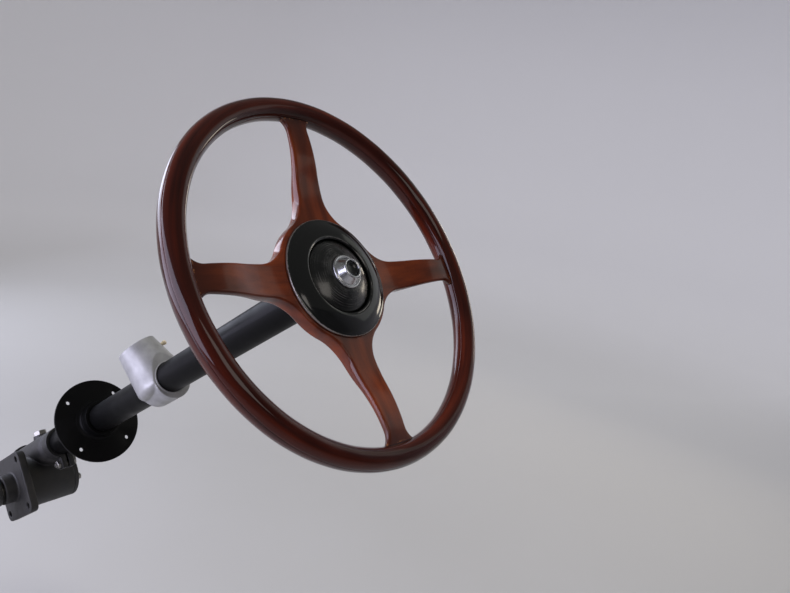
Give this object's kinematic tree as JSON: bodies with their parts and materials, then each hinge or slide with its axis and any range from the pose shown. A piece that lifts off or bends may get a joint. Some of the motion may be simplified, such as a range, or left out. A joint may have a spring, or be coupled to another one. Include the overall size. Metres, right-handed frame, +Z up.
{
  "type": "steering wheel and column",
  "caption": "Four-spoke wooden steering wheel on a raked column, with lock housing, toe board plate, steering box and pitman arm.",
  "frame": {"origin": "centre of the four frame bolts, on the steering box's face against the frame rail and on the cross shaft's axis", "axes": "+X to the car's right, +Y forward, +Z up; the box's face looks along -X"},
  "size_m": [0.4564, 0.9392, 0.9702],
  "materials": {
    "varnished_wood": "dark red-brown gloss varnish",
    "satin_wood": "red-brown satin varnish",
    "black_steel": "black paint on forged steel",
    "black_gloss": "polished black",
    "bright_plate": "polished plate",
    "bright_steel": "machined",
    "black_enamel": "stoved black enamel",
    "bush_brass": "turned",
    "grey_casting": "satin die casting",
    "cast_iron": "black painted casting"
  },
  "bodies": {
    "column": {"column_jacket": "black_enamel", "top_bush": "bush_brass", "lock_housing": "grey_casting", "toe_plate": "black_enamel", "box_housing": "cast_iron", "side_cover": "cast_iron", "adjuster": "bright_steel", "end_cover": "cast_iron", "tube_gland": "bush_brass", "filler_plug": "bush_brass", "neck_clamp": "cast_iron"},
    "wheel": {"rim_front": "varnished_wood", "rim_back": "varnished_wood", "spider": "satin_wood", "wheel_hub": "black_steel", "cover_ring": "black_gloss", "horn_dome": "black_gloss", "ferrule": "bright_plate", "horn_button": "black_gloss", "steering_shaft": "bright_steel"},
    "pitman": {"cross_shaft": "bright_steel", "pitman_arm": "black_steel", "pitman_nut": "bright_steel"}
  },
  "joints": [
    {"name": "steering", "type": "hinge", "parent": "column", "child": "wheel", "pos_m": [0.064, -0.69109, 0.57837], "axis": [0, -0.7986, 0.6018], "range_deg": [-540, 540]},
    {"name": "pitman_swing", "type": "hinge", "parent": "column", "child": "pitman", "pos_m": [0, 0, 0], "axis": [1, 0, 0], "range_deg": [-36, 36]}
  ],
  "couplings": [
    {"joint": "pitman_swing", "follows": "steering", "ratio": 0.066667}
  ]
}
